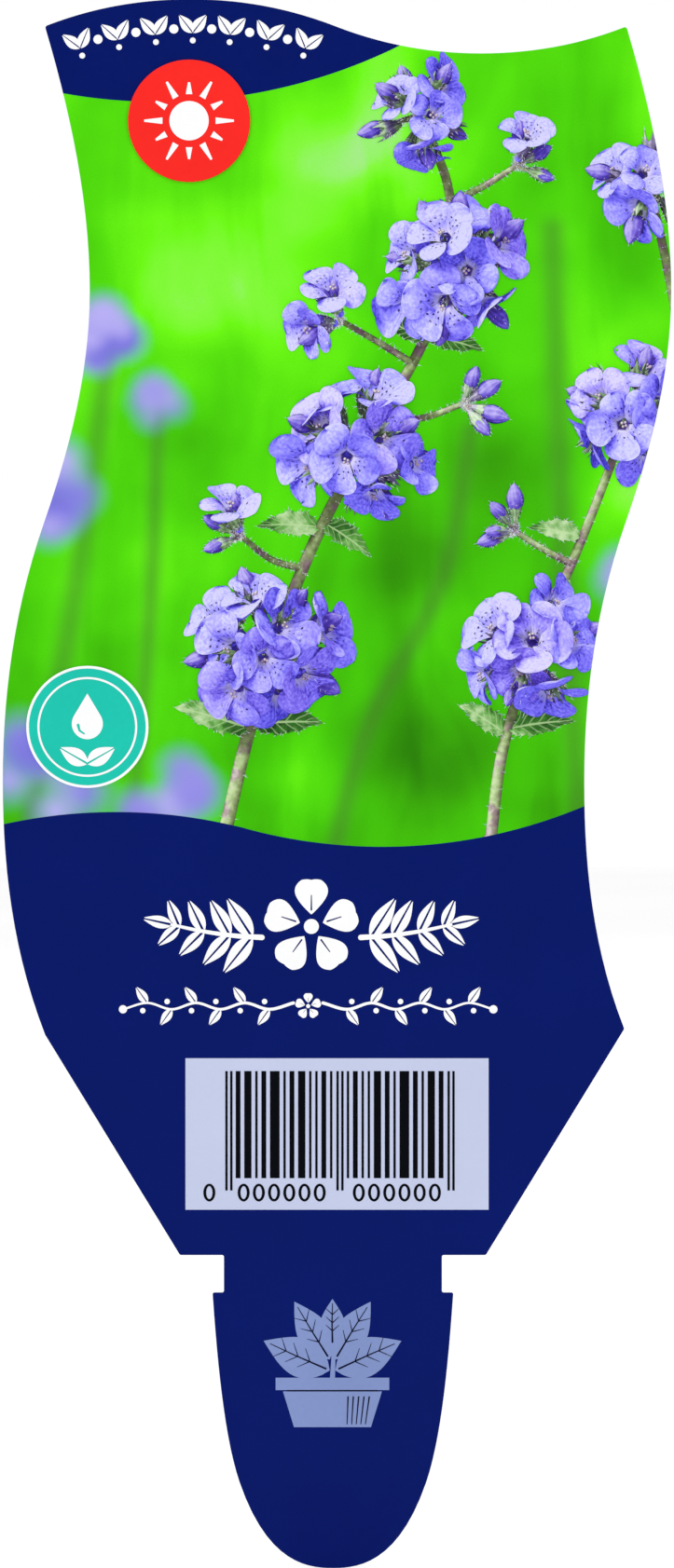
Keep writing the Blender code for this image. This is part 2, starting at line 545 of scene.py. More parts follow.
def stroke(path, width, end_width=None):
    """A line with a thickness, tapering to its end width, with round ends."""
    path = np.array(path, float)
    ways = unit(np.gradient(path, axis=0))
    normal = np.stack([-ways[:, 1], ways[:, 0]], 1)
    half = np.linspace(width, width if end_width is None else end_width, len(path))[:, None] / 2
    left, right = path + normal * half, path - normal * half

    def cap(end, side):
        start = atan2(side * normal[end][1], side * normal[end][0])
        return arc(path[end], half[end][0], np.linspace(start, start - pi, 8)[1:-1])

    return [*left, *cap(-1, 1), *right[::-1], *cap(0, -1)]


def smooth_path(knots, count):
    """A smooth curve through its knots."""
    knots = np.array(knots, float)
    ends = np.vstack([2 * knots[0] - knots[1], knots, 2 * knots[-1] - knots[-2]])
    spans = len(knots) - 1
    place = np.linspace(0, spans, count)
    index = np.minimum(place.astype(int), spans - 1)
    t = (place - index)[:, None]
    a, b, c, d = (ends[index + k] for k in range(4))
    return 0.5 * (2 * b + (c - a) * t + (2 * a - 5 * b + 4 * c - d) * t**2 + (3 * b - a - 3 * c + d) * t**3)


def sprig(knots):
    """A stem with pairs of leaves that get smaller to its tip, and a leaf at its end."""
    pairs, size, slimness, gap, lean = 4, 5.2, 0.35, 0.26, 0.95
    points = smooth_path(knots, 60)
    shapes = [stroke(points, 0.6, 0.3)]
    for index in range(pairs):
        share = 0.12 + 0.8 * index / (pairs - 1)
        place = int(share * 59)
        length = size * (1 - 0.45 * share)
        way = heading(points[place - 1], points[place + 1])
        shapes += leaf_pair(points[place], way, lean, length, length * slimness, gap)
    length = size * 0.6
    way = heading(points[-3], points[-1])
    return shapes + split_leaf(points[-1], way, length, length * slimness, gap)


def flat_petal(length, width):
    """One rounded, lightly notched petal along +x."""
    steps, notch = 24, 0.1
    upper = []
    for step in range(steps + 1):
        x = 0.5 - 0.5 * cos(pi * step / steps)
        half = width / 2 * sin(pi * x**1.45) ** 0.62 if 0 < step < steps else 0.0
        dip = notch * max(0.0, 1 - half / (width * 0.3)) if x > 0.7 else 0.0
        upper.append((length * (x - dip), half))
    return mirrored(upper)


def flower_shapes(centre, radius):
    """A flat blossom of five slit petals with gaps between them and an open eye."""
    petals, hole = 5, 0.24
    length = radius * (1 - hole)
    shapes = []
    for index in range(petals):
        angle = pi / 2 + index * tau / petals
        base = placed([(radius * hole, 0)], centre, angle)[0]
        slit = stroke([(length * 0.12, 0), (length * 0.5, 0)], radius * 0.035, radius * 0.02)
        shapes.append([placed(ring, base, angle) for ring in (flat_petal(length, radius * 0.66), slit)])
    return shapes + [disc(centre, radius * hole * 0.62, 32)]


def ray_shapes(centre, count, near, half_width, lengths):
    """Tapered rays around a centre, whose lengths take turns."""
    shapes = []
    for index in range(count):
        far = near + lengths[index % len(lengths)]
        ray = [(near, -half_width), (far, -0.12), (far, 0.12), (near, half_width)]
        shapes.append(placed(ray, centre, index * tau / count))
    return shapes


def drop_shape(centre, radius, tip):
    """A water drop: an arc below, with sides that meet in a tip above."""
    open_half = acos(radius / tip)
    turns = np.linspace(pi / 2 - open_half, open_half - 1.5 * pi, 40)
    return arc(centre, radius, turns) + [(centre[0], centre[1] + tip)]


def navy_fields():
    """The navy field under the wave and the navy band at the top, each closed by its own curve."""
    for name, height, way in (("navy_field", wave_height, -1), ("navy_band", band_height, 1)):
        run = edge_run(lambda x, z: way * (z - height(x)))
        lay_print(name, [run + along_curve(height, run[-1], run[0])], FIELD_LEVEL, "navy")


def band_garland():
    """Leaf pairs and dots along an arc under the top edge."""
    radius, crest, reach, marks = 45.6, (-15.3, 133.55), 12.3, 13
    shapes = []
    for index in range(marks):
        across = reach * (2 * index / (marks - 1) - 1)
        base = (crest[0] + across, crest[1] - arc_rise(across, radius))
        slope = -asin(across / radius)
        if index % 2 == 0:
            shapes += leaf_pair(base, slope + pi / 2, 0.66, 2.4, 1.15, 0.14, 10)
            shapes.append(disc(placed([(0, -0.85)], base, slope)[0], 0.32, 20))
        else:
            shapes.append(disc(placed([(0, 0.45)], base, slope)[0], 0.5, 28))
    lay_print("band_garland", shapes, SHAPE_LEVEL, "white")


def red_sun():
    """A red disc with a plain sun."""
    lay_print("red_disc", [disc(RED_DISC, DISC_RADIUS)], DISC_LEVEL, "red", rimmed=True)
    shapes = [disc(RED_DISC, 2.15, 64)] + ray_shapes(RED_DISC, 12, 2.9, 0.36, (2.0, 1.3))
    lay_print("sun_mark", shapes, DISC_LEVEL + 1, "white")


def teal_drop():
    """A teal disc with a white rim, a thin ring, and a drop over two leaves."""
    lay_print("teal_rim", [disc(TEAL_DISC, DISC_RADIUS)], DISC_LEVEL, "white", rimmed=True)
    lay_print("teal_disc", [disc(TEAL_DISC, DISC_RADIUS - DISC_RIM)], DISC_LEVEL + 1, "teal")
    x, z = TEAL_DISC
    shapes = [ring_shape(TEAL_DISC, 5.45, 5.22), drop_shape((x, z + 0.35), 1.7, 3.3)]
    shapes += leaf_pair((x, z - 4.0), pi / 2, 1.05, 3.4, 1.7, 0.2)
    lay_print("drop_mark", shapes, DISC_LEVEL + 2, "white")
    glint = stroke([(x - 1.0, z + 0.2), (x - 0.85, z - 0.4), (x - 0.35, z - 0.75)], 0.3, 0.16)
    lay_print("drop_glint", [glint], DISC_LEVEL + 3, "teal")


def title_sprig():
    """A broad white sprig with an open blossom in its middle."""
    x, z = TITLE_CENTRE
    knots = ((5.4, -1.2), (8.5, -1.0), (12.0, -0.5), (15.25, 0.2))
    shapes = flower_shapes(TITLE_CENTRE, 5.5)
    for side in (1, -1):
        shapes += sprig([(x + side * reach, z + rise) for reach, rise in knots])
    lay_print("title_sprig", shapes, SHAPE_LEVEL, "white")


def subtitle_line():
    """A thin waving stem with small leaves and dots, to both sides of a small blossom."""
    middle, height = SUBTITLE_CENTRE
    shapes = []
    for side in (1, -1):
        knots = [(middle + side * (1.6 + 2.66 * k), height + 0.35 * (-1) ** k) for k in range(8)]
        shapes.append(stroke(smooth_path(knots, 120), 0.34, 0.22))
        for k, (x, z) in enumerate(knots[1:-1]):
            up = -1 if k % 2 == 0 else 1
            angle = pi / 2 * (1 - side) + side * up * 0.95
            shapes += split_leaf((x, z), angle, 2.09, 0.9025, 0.133, 10)
            shapes.append(disc((x + side * 0.5, z - up * 0.85), 0.3, 20))
        shapes.append(disc(knots[-1], 0.45, 24))
    lay_print("subtitle_line", shapes + flower_shapes(SUBTITLE_CENTRE, 1.5), SHAPE_LEVEL, "white")


def bar_panel():
    """A pale panel with a plain mirrored ornament of bars over a row of oval rings."""
    lay_print("bar_panel", [box_shape(*PANEL)], SHAPE_LEVEL, "pale_panel")
    x0, z0, x1, z1 = BARS
    module = (x1 - x0) / 95
    bars = [(start, 1, z0 - GUARD_DROP) for start in (0, 2, 46, 48, 92, 94)]
    widths = (2, 3, 1, 2, 4, 1, 2, 3, 1, 1, 2, 1)
    for place, order in ((4.3, widths), (50.3, widths[::-1])):
        for width in order:
            bars.append((place, width, z0))
            place += width + 1.55
    shapes = []
    for start, width, foot in bars:
        shapes.append(box_shape(x0 + start * module, foot, x0 + (start + width) * module, z1))
    ring_half, ring_height = 0.66, GUARD_DROP + 0.6
    stretch = ring_height / 2 / ring_half
    for place in [-6.6] + [start + 6.3 * k for start in (7.6, 55.3) for k in range(6)]:
        centre = (x0 + place * module, z0 - 0.6 - ring_height / 2)
        hole = disc(centre, 0.34, 32, stretch * 1.4)[::-1]
        shapes.append([disc(centre, ring_half, 32, stretch), hole])
    lay_print("bar_marks", shapes, MARK_LEVEL, "black")


def tongue_seedling():
    """A lilac-grey seedling in a pot with dark drawn lines."""
    x, z = EMBLEM_FOOT
    rim_z = z + 5.4
    shapes = [
        [(x - 4.2, z), (x + 4.2, z), (x + 5.4, rim_z - 1.5), (x - 5.4, rim_z - 1.5)],
        box_shape(x - 6.2, rim_z - 1.35, x + 6.2, rim_z),
        stroke([(x, rim_z - 0.1), (x + 0.1, rim_z + 2), (x, rim_z + 5)], 0.55, 0.35),
    ]
    lines = [stroke([(x - 4.9, rim_z - 1.42), (x + 4.9, rim_z - 1.42)], 0.16)]
    for index in range(5):
        foot_x = x + 1.6 + 0.5 * index
        shade = [(foot_x, z + 0.35), (foot_x + 0.1 + 0.08 * index, rim_z - 2.1)]
        lines.append(stroke(shade, 0.1, 0.16))
    leaves = (
        (-0.3, 0.8, 2.72, 7.9, 4.3), (0.3, 0.8, 0.42, 7.9, 4.3), (-0.3, 2.0, 2.12, 7.4, 3.6),
        (0.3, 2.0, 1.02, 7.4, 3.6), (0.0, 3.6, 1.57, 5.0, 2.7),
    )
    for across, up, angle, length, width in leaves:
        base = (x + across, rim_z + up)
        shapes.append(leaf_shape(base, angle, length, width))
        rib = [(length * 0.06, 0), (length * 0.5, 0.05), (length * 0.9, 0)]
        lines.append(stroke(placed(rib, base, angle), 0.2, 0.08))
        for share in (0.3, 0.48, 0.66):
            for side in (1, -1):
                vein = [(length * share, 0), (length * (share + 0.13), side * width * 0.26)]
                lines.append(stroke(placed(vein, base, angle), 0.12, 0.05))
    lay_print("seedling_mark", shapes, SHAPE_LEVEL, "lilac_grey")
    lay_print("seedling_lines", lines, MARK_LEVEL, "dark_line")


def back_marks():
    """Plain care marks on the white back: sun, water, height and a strip of twelve months."""
    sun, water, height = (0, 96.0), (0, 79.0), (0, 62.0)
    navy = [ring_shape(centre, 6.2, 5.8) for centre in (sun, water, height)]
    navy += [disc(sun, 1.7, 48)] + ray_shapes(sun, 8, 2.4, 0.28, (1.8,))
    navy.append(drop_shape((0, water[1] - 0.9), 2.0, 4.0))
    navy.append(stroke([(0, height[1] - 3.6), (0, height[1] + 2.4)], 0.5))
    for lift, size in ((-1.6, 3.4), (0.2, 2.9), (2.0, 2.2)):
        for side in (1, -1):
            angle = pi / 2 - side * 0.95
            navy.append(leaf_shape((0, height[1] + lift), angle, size, size * 0.42))
    low, high, pitch, gap = 41.0, 45.0, 3.1, 0.4

    def month_box(month, inset):
        x = -18.6 + month * pitch
        return box_shape(x + inset, low + inset, x + pitch - gap - inset, high - inset)

    navy += [[month_box(month, 0.0), month_box(month, 0.2)[::-1]] for month in range(12)]
    lay_print("back_marks", navy, 1, "navy", back=True)
    bloom_months = [month_box(month, 0.45) for month in (4, 5, 6, 7, 8)]
    lay_print("back_bloom_months", bloom_months, 1, "teal", back=True)


class Model:
    """The meshes of one picture piece, modelled in the round in millimetres, with the ink's marks."""

    def __init__(self, name, finish):
        self.name = name
        self.finish = finish
        self.points = []
        self.faces = []
        self.marks = {"along": [], "across": [], "tone": []}
        self.count = 0

    def add(self, points, faces, *marks):
        """Adds faces over points, with the marks along, across and tone at each point."""
        points = np.asarray(points)
        for values, mark in zip(self.marks.values(), marks):
            values.append(np.broadcast_to(mark, points.shape[:-1]).ravel())
        self.points.append(points.reshape(-1, 3))
        self.faces.append(np.asarray(faces) + self.count)
        self.count += len(self.points[-1])

    def grid(self, points, *marks, closed=False):
        """A surface from rows and columns of points."""
        index = np.arange(points[..., 0].size).reshape(points.shape[:2])
        beside = np.roll(index, -1, axis=1)
        if not closed:
            index, beside = index[:, :-1], beside[:, :-1]
        quads = np.stack([index[:-1], beside[:-1], beside[1:], index[1:]], -1)
        self.add(points, quads.reshape(-1, 4), *marks)

    def complete(self):
        """Joins what was added, and works out the normals, turned towards the viewer."""
        self.points = np.concatenate(self.points)
        self.faces = np.concatenate(self.faces)
        self.marks = {key: np.concatenate(values) for key, values in self.marks.items()}
        corners = self.points[self.faces]
        across = np.cross(corners[:, 2] - corners[:, 0], corners[:, -1] - corners[:, 1])
        normals = unit(self.at_points(across) + VIEWER * 1e-9)
        self.normals = np.where((normals @ VIEWER)[:, None] < 0, -normals, normals)

    def at_points(self, values):
        """The sum, at each point, of the values of the faces around it."""
        total = np.zeros((len(self.points), *values.shape[1:]))
        for corner in self.faces.T:
            np.add.at(total, corner, values)
        return total

    def evened(self, values):
        """The values after one pass of sharing between neighbours."""
        shared = self.at_points(values[self.faces].mean(1))
        parts = self.at_points(np.ones(len(self.faces)))
        return 0.5 * values + 0.5 * shared / np.maximum(parts, 1)


def turned(first, second, angle):
    """Two square directions, turned in their plane."""
    cosine, sine = cos(angle), sin(angle)
    return first * cosine + second * sine, second * cosine - first * sine


def axes_along(direction, spin=0.0):
    """Two directions square to a direction, turned by a spin, and the direction itself."""
    direction = unit(np.asarray(direction, float))
    helper = np.array([0.0, 0.0, 1.0]) if abs(direction[2]) < 0.9 else np.array([1.0, 0.0, 0.0])
    first = unit(np.cross(helper, direction))
    return (*turned(first, np.cross(direction, first), spin), direction)


def reached(origin, reaches, directions):
    """Points at their reaches along directions from an origin."""
    points = origin
    for reach, direction in zip(reaches, directions):
        points = points + reach[..., None] * direction
    return points


def around(sides):
    """Angles around a body, and the mark across that goes with them, from -1 to 1."""
    turns = np.linspace(0, tau, sides, endpoint=False)
    return turns, turns / pi - 1


def body_points(origin, axes, rise, radius, turns):
    """Rings of points around the third axis, at their rise and radius."""
    first, second, forward = axes
    return reached(origin, (rise, radius * np.cos(turns), radius * np.sin(turns)), (forward, first, second))


def tube(model, path, radii, sides, along, tone):
    """A tube around a path, with its marks along it."""
    ways = unit(np.gradient(path, axis=0))
    first = unit(np.cross(ways, np.array([0.3, -0.9, 0.2])))
    second = np.cross(ways, first)
    turns, across = around(sides)
    ring = first[:, None] * np.cos(turns)[:, None] + second[:, None] * np.sin(turns)[:, None]
    points = path[:, None] + ring * np.linspace(*radii, len(path))[:, None, None]
    model.grid(points, np.linspace(*along, len(path))[:, None], across, tone, closed=True)
    return points


def grain(model, centre, radius):
    """A small round grain."""
    rise = np.linspace(-pi / 2, pi / 2, 6)[:, None]
    points = body_points(centre, np.eye(3), np.sin(rise) * radius, np.cos(rise) * radius, around(8)[0])
    model.grid(points, 0.5, 0.0, 0.5, closed=True)


def hairs(model, points, middle, count, length, chance):
    """Fine hairs that stand away from a body's middle."""
    points = points.reshape(-1, 3)
    for _ in range(count):
        base = points[chance.randrange(len(points))]
        away = unit(base - middle + np.array([chance.gauss(0, 0.25) for _ in range(3)]))
        if away @ VIEWER < -0.35:
            continue
        beside = np.cross(away, VIEWER)
        beside = beside / max(np.linalg.norm(beside), 0.2) * 0.028
        tip = base + away * length * chance.uniform(0.5, 1.1)
        start = base - away * 0.08
        model.add([start - beside, start + beside, tip], [[0, 1, 2]], 0.5, 0.0, chance.random())


def petal_points(length, chance):
    """One petal's reaches outward, sideways and forward, and its marks along and across."""
    along = 1 - (1 - np.linspace(0, 1, 14)[:, None]) ** 1.5
    across = np.linspace(-1, 1, 11)
    widest = 0.64
    inner = 0.2 + 0.8 * np.sin(np.clip(along / widest, 0, 1) * pi / 2) ** 1.3
    outer = np.sqrt(np.clip(1 - (np.clip(along - widest, 0, None) / (1 - widest)) ** 2, 0, 1))
    half = length * chance.uniform(0.43, 0.52) * inner * outer
    notch = chance.uniform(0.05, 0.16) * np.exp(-((across / 0.4) ** 2)) * along**7
    outward = length * (0.1 + 0.9 * along * (1 - notch))
    curl, cup = chance.uniform(0.05, 0.42), chance.uniform(-0.25, 0.35)
    height, waves, shift = chance.uniform(0.015, 0.05), chance.uniform(4, 7), chance.uniform(0, 6)
    ripple = height * np.sin(across * waves + shift) * along**2
    arch = 0.34 * along - curl * along**2 - 0.35 * (1 - along) ** 6
    slant = half * across * chance.uniform(0.1, 0.32)
    return (outward, half * across, length * (arch + ripple) + cup * across**2 * half + slant), along, across


def blossom(models, centre, facing, size, root, chance):
    """An open blossom of five petals with its tube, its cup of sepals and its stamens."""
    first, second, forward = axes_along(facing, chance.uniform(0, tau))
    tone = chance.uniform(0.0, 0.75)
    for index in range(5):
        angle = index * tau / 5 + chance.uniform(-0.12, 0.12)
        reaches, *marks = petal_points(size / 2 * chance.uniform(0.88, 1.06), chance)
        points = reached(centre, reaches, (*turned(first, second, angle), forward))
        models["petals"].grid(points, *marks, tone + chance.uniform(0, 0.25))
    for index in range(4):
        way, _ = turned(first, second, index * pi / 2 + chance.uniform(-0.3, 0.3))
        grain(models["stamens"], centre + way * 0.26 + forward * chance.uniform(0.2, 0.7), 0.17)
    back = centre - forward * size * 0.08
    knots = [back, back - forward * size * 0.2, root + (back - root) * 0.35, root]
    path = smooth_path(knots, 8)
    tube(models["tubes"], path, (0.62, 0.42), 10, (0.55, 0.95), tone)
    sepal_cup(models, root, path[4] - root, chance)


def sepal_cup(models, root, direction, chance, size=1.0):
    """A ribbed cup of five pointed sepals with fine hairs."""
    axes = axes_along(direction, chance.uniform(0, 6))
    turns, across = around(20)
    rows = np.linspace(0, 1, 7)[:, None]
    tooth = np.clip(np.cos(5 * turns), -0.3, 1.0)
    rise = (2.3 * rows + 0.95 * tooth * rows**5) * size
    radius = (0.34 + 0.62 * np.sin(rows * 1.7)) * (1 + 0.06 * np.cos(10 * turns)) * size * 0.92
    points = body_points(root, axes, rise, radius, turns)
    models["sepals"].grid(points, rows, across, chance.uniform(0, 1), closed=True)
    hairs(models["hairs"], points, root + axes[2] * size, 46, 0.62 * size, chance)


def bud(models, root, direction, size, chance):
    """A closed bud with twisted folds on its cup of sepals."""
    axes = axes_along(direction, chance.uniform(0, 6))
    turns, across = around(14)
    rows = np.linspace(0.02, 1, 10)[:, None]
    radius = size * 0.27 * np.sin(pi * rows**0.85) ** 0.7 * (1 + 0.1 * np.cos(5 * turns + 4 * rows))
    points = body_points(root, axes, 0.9 + rows * size, radius, turns)
    twist = 0.8 / pi * rows
    models["buds"].grid(points, rows, across + twist, chance.uniform(0, 1), closed=True)
    hairs(models["hairs"], points, root + axes[2] * size * 0.6, 22, 0.4, chance)
    sepal_cup(models, root, direction, chance, 0.8)


def leaf(models, root, direction, length, width, chance):
    """A toothed leaf that arches over its midrib."""
    along = np.linspace(0, 1, 26)[:, None]
    across = np.linspace(-1, 1, 9)
    direction = unit(np.array(direction))
    sideways = unit(np.cross(direction, LEAF_FACING))
    spread = np.abs(across)
    teeth = 1 + 0.13 * (1 - 2 * np.mod(along * 9, 1)) * spread**3
    half = width / 2 * np.sin(pi * along**0.75) ** 0.85 * teeth
    bow = -chance.uniform(0.1, 0.3) * length * along**2
    fold = 0.35 * spread * half + 0.03 * length * np.sin(along * 22 + spread * 2) * spread
    reaches = (length * along, half * across, bow + fold)
    points = reached(np.array(root), reaches, (direction, sideways, np.cross(sideways, direction)))
    models["leaves"].grid(points, along, across, chance.uniform(0, 1))
    rim = np.concatenate([points[:, 0], points[:, -1]])
    hairs(models["hairs"], rim, points[:, 4].mean(0), 50, 0.4, chance)


def stem(models, knots, thick, thin, chance):
    """A furry stem along its knots."""
    path = smooth_path(knots, 10 * len(knots))
    points = tube(models["stems"], path, (thick, thin), 12, (0, 1), 0.5)
    for index in range(0, len(path), 2):
        hairs(models["hairs"], points[index], path[index], 9, 0.5, chance)


def new_models(name):
    """The pieces that one group of the picture's plants is made of."""
    return {part: Model(f"{name}_{part}", finish) for part, finish in PART_INKS.items()}


def cluster(name, middle, radius, blossoms, buds, size, seed):
    """A full round cluster of blossoms and buds, with sepal cups between them."""
    chance = random.Random(seed)
    models = new_models(name)
    centre = np.array(middle)

    def way(share, turns, widest):
        """A way out of the cluster's middle: near the viewer's at a share of zero."""
        tilt = radians(widest * sqrt(share)) * chance.uniform(0.88, 1.1)
        turn = turns * GOLDEN_TURN + seed
        side = sin(tilt)
        return unit(np.array([side * cos(turn), -cos(tilt), side * sin(turn)]))

    for index in range(blossoms):
        away = way((index + 0.2) / blossoms, index, 92)
        reach = radius * chance.uniform(0.85, 1.12)
        root = centre + away * reach * 0.4
        jitter = np.array([chance.gauss(0, 0.2) for _ in range(3)])
        facing = away * 0.9 + VIEWER * 0.25 + jitter
        blossom(models, centre + away * reach, facing, size * chance.uniform(0.82, 1.08), root, chance)
        stem(models, [centre, root + away * 0.3], 0.42, 0.32, chance)
    for index in range(buds):
        away = way(0.35 + 0.65 * (index + 0.5) / buds, index + 0.5 + 1.3 / GOLDEN_TURN, 106)
        root = centre + away * radius * chance.uniform(0.5, 0.75)
        bud(models, root, away, size * chance.uniform(0.36, 0.5), chance)
        stem(models, [centre, root + away * 0.3], 0.36, 0.28, chance)
    for index in range(blossoms + 3):
        away = way(0.12 + 0.88 * (index + 0.5) / (blossoms + 3), index + 2.6 / GOLDEN_TURN, 110)
        sepal_cup(models, centre + away * radius * chance.uniform(0.45, 0.68), away, chance, 1.05)
    return models


def spray(plants, base, tip, seed, blossoms, buds, size):
    """A short side stalk with a few buds around its end and blossoms that nod away from it."""
    chance = random.Random(seed)
    base, tip = np.array(base), np.array(tip)
    middle = (base + tip) / 2 + np.array([0.0, -0.4, chance.uniform(-1.3, 0.9)])
    stem(plants, [base, middle, tip], 0.4, 0.3, chance)
    along = unit(tip - base)
    beside = np.cross(along, VIEWER)
    for index in range(buds):
        spread = beside * (-1.1 + 2.2 * index / max(buds - 1, 1))
        away = unit(along * chance.uniform(0.6, 1.1) + spread + VIEWER * chance.uniform(0.1, 0.5))
        root = tip + away * chance.uniform(0.9, 1.5)
        stem(plants, [tip, root], 0.28, 0.24, chance)
        bud(plants, root, away, size * chance.uniform(0.42, 0.6), chance)
    for index in range(blossoms):
        side = beside * (1 if (index + seed) % 2 else -1)
        away = unit(along * 0.8 + side * 0.75 + VIEWER * 0.5)
        facing = along * 0.5 + side * 0.9 + VIEWER * chance.uniform(0.5, 0.9)
        blossom(plants, tip + away * 4.2, facing, size * 1.1, tip + away * 0.8, chance)


def picture_models():
    """The picture's plants: two leaning stems with round clusters, and a third at the right edge."""
    chance = random.Random(7)
    # Each cluster's middle, radius, blossoms, buds, blossom size and seed
    clusters = {
        "low": ((-7.5, 0.0, 66.5), 6.6, 9, 6, 9.2, 11),
        "middle": ((2.5, -1.0, 88.5), 6.4, 8, 6, 9.0, 23),
        "high": ((13.5, 0.0, 108.0), 6.2, 8, 6, 8.8, 31),
        "top": ((9.5, 1.0, 124.5), 4.0, 4, 6, 7.4, 44),
        "side": ((22.0, 1.5, 66.0), 5.8, 7, 5, 8.6, 52),
        "edge": ((32.5, 0.5, 92.0), 5.4, 6, 5, 8.6, 67),
        "corner": ((34.5, 1.0, 117.0), 4.4, 4, 4, 8.0, 71),
    }
    groups = [cluster(f"{name}_cluster", *values) for name, values in clusters.items()]
    plants = new_models("plant")
    stem(plants, [
        (-12.5, 3.5, 43.0), (-9.5, 3.2, 56.0), (-6.5, 3.0, 66.5), (-2.0, 3.2, 78.0), (3.5, 3.0, 88.5),
        (9.5, 3.2, 99.0), (13.0, 3.0, 108.0), (12.5, 3.0, 117.0), (9.5, 2.6, 124.0),
    ], 0.78, 0.46, chance)
    stem(plants, [
        (17.0, 4.6, 43.0), (18.5, 4.5, 55.0), (22.0, 4.3, 66.0), (27.5, 4.2, 79.0), (32.5, 4.0, 92.0),
    ], 0.68, 0.46, chance)
    stem(plants, [(38.0, 4.0, 100.0), (36.5, 4.0, 108.0), (34.5, 4.0, 117.0)], 0.55, 0.45, chance)
    # Each spray's base, tip, seed, blossoms, buds and blossom size
    sprays = (
        ((-3.4, 3.0, 75.0), (-10.0, 1.0, 78.5), 3, 1, 3, 6.6),
        ((8.6, 3.0, 97.5), (1.0, 1.2, 102.0), 5, 2, 4, 6.6),
        ((5.2, 3.0, 91.5), (14.2, 1.5, 93.0), 8, 0, 4, 6.6),
        ((12.8, 3.0, 115.0), (20.0, 1.5, 119.0), 12, 1, 3, 5.8),
        ((26.0, 4.0, 75.5), (20.0, 2.0, 79.0), 17, 0, 4, 6.0),
    )
    for values in sprays:
        spray(plants, *values)
    leaves = (
        ((-9.0, 3.0, 57.5), (-1.0, -0.25, 0.35), 8.6, 4.0), ((-8.6, 3.0, 58.0), (0.9, -0.3, 0.1), 7.4, 3.6),
        ((-1.4, 3.0, 79.5), (-1.0, -0.3, 0.15), 6.6, 3.0), ((-1.0, 3.0, 80.0), (0.8, -0.25, -0.45), 6.0, 2.8),
        ((10.4, 3.0, 100.5), (0.95, -0.3, -0.2), 6.2, 2.9), ((9.8, 3.0, 100.0), (-0.8, -0.3, 0.5), 5.4, 2.6),
        ((19.2, 4.2, 57.5), (0.9, -0.3, 0.2), 7.0, 3.2), ((18.8, 4.2, 57.0), (-0.75, -0.2, 0.55), 5.8, 2.8),
        ((27.0, 4.0, 78.5), (-0.9, -0.3, 0.3), 5.4, 2.5),
    )
    for root, direction, length, width in leaves:
        leaf(plants, root, direction, length, width, chance)
    groups.append(plants)
    models = [model for group in groups for model in group.values() if model.count]
    for model in models:
        model.complete()
    return models


def sky_ways(count):
    """Of a count of directions spread evenly all round, those in which the picture sees sky."""
    index = np.arange(count)
    depth = 1 - 2 * (index + 0.5) / count
    flat = np.sqrt(1 - depth**2)
    turn = index * GOLDEN_TURN
    ways = np.stack([flat * np.cos(turn), depth, flat * np.sin(turn)], 1)
    return ways[depth < 0.35]


def light_models(models):
    """Draws light into the picture: a soft key light with shadows, and open sky."""
    key_strength, key_softness, key_reach = 0.64, 0.1, 26
    sky_strength, sky_reach, sky_count = 0.41, 7, 40
    hair_shade, hair_light = 0.37, 0.6
    clearance, least_facing, least_share = 0.06, 0.02, 0.12
    tree_points, tree_faces = [], []
    for model in models:
        if model.finish != "hair":
            tree_faces += (model.faces + len(tree_points)).tolist()
            tree_points += model.points.tolist()
    tree = BVHTree.FromPolygons(tree_points, tree_faces)

    def is_open(origin, ray, reach):
        return tree.ray_cast(origin, ray, reach)[0] is None

    side, up, key = axes_along(KEY_LIGHT)
    corners = ((1, 0.4), (-0.4, 1), (-1, -0.4), (0.4, -1))
    key_rays = [Vector(unit(key + (side * a + up * b) * key_softness)) for a, b in corners]
    sky = sky_ways(sky_count)
    sky_rays = [Vector(way) for way in sky]
    for model in models:
        facing = np.clip(model.normals @ key, 0, 1)
        if model.finish == "hair":
            model.lit = hair_shade + hair_light * facing
            continue
        sky_shares = model.normals @ sky.T
        lit = np.zeros(len(model.points))
        for index, origin in enumerate(model.points + model.normals * clearance):
            origin = Vector(origin)
            open_key = 0.0
            if facing[index] > least_facing:
                open_key = sum(is_open(origin, ray, key_reach) for ray in key_rays) / len(key_rays)
            total = seen = 0.0
            for share, ray in zip(sky_shares[index], sky_rays):
                if share > least_share:
                    total += share
                    seen += share * is_open(origin, ray, sky_reach)
            lit[index] = key_strength * facing[index] ** 0.8 * open_key
            lit[index] += sky_strength * seen / max(total, 1e-6)
        model.lit = model.evened(lit)


def nearest_on_ring(points, ring):
    """For each point, the nearest place on a ring."""
    run = np.roll(ring, -1, axis=0) - ring
    share = ((points[:, None] - ring) * run).sum(-1) / np.maximum((run**2).sum(-1), 1e-12)
    spots = ring + run * np.clip(share, 0, 1)[..., None]
    best = ((points[:, None] - spots) ** 2).sum(-1).argmin(1)
    return spots[np.arange(len(points)), best]


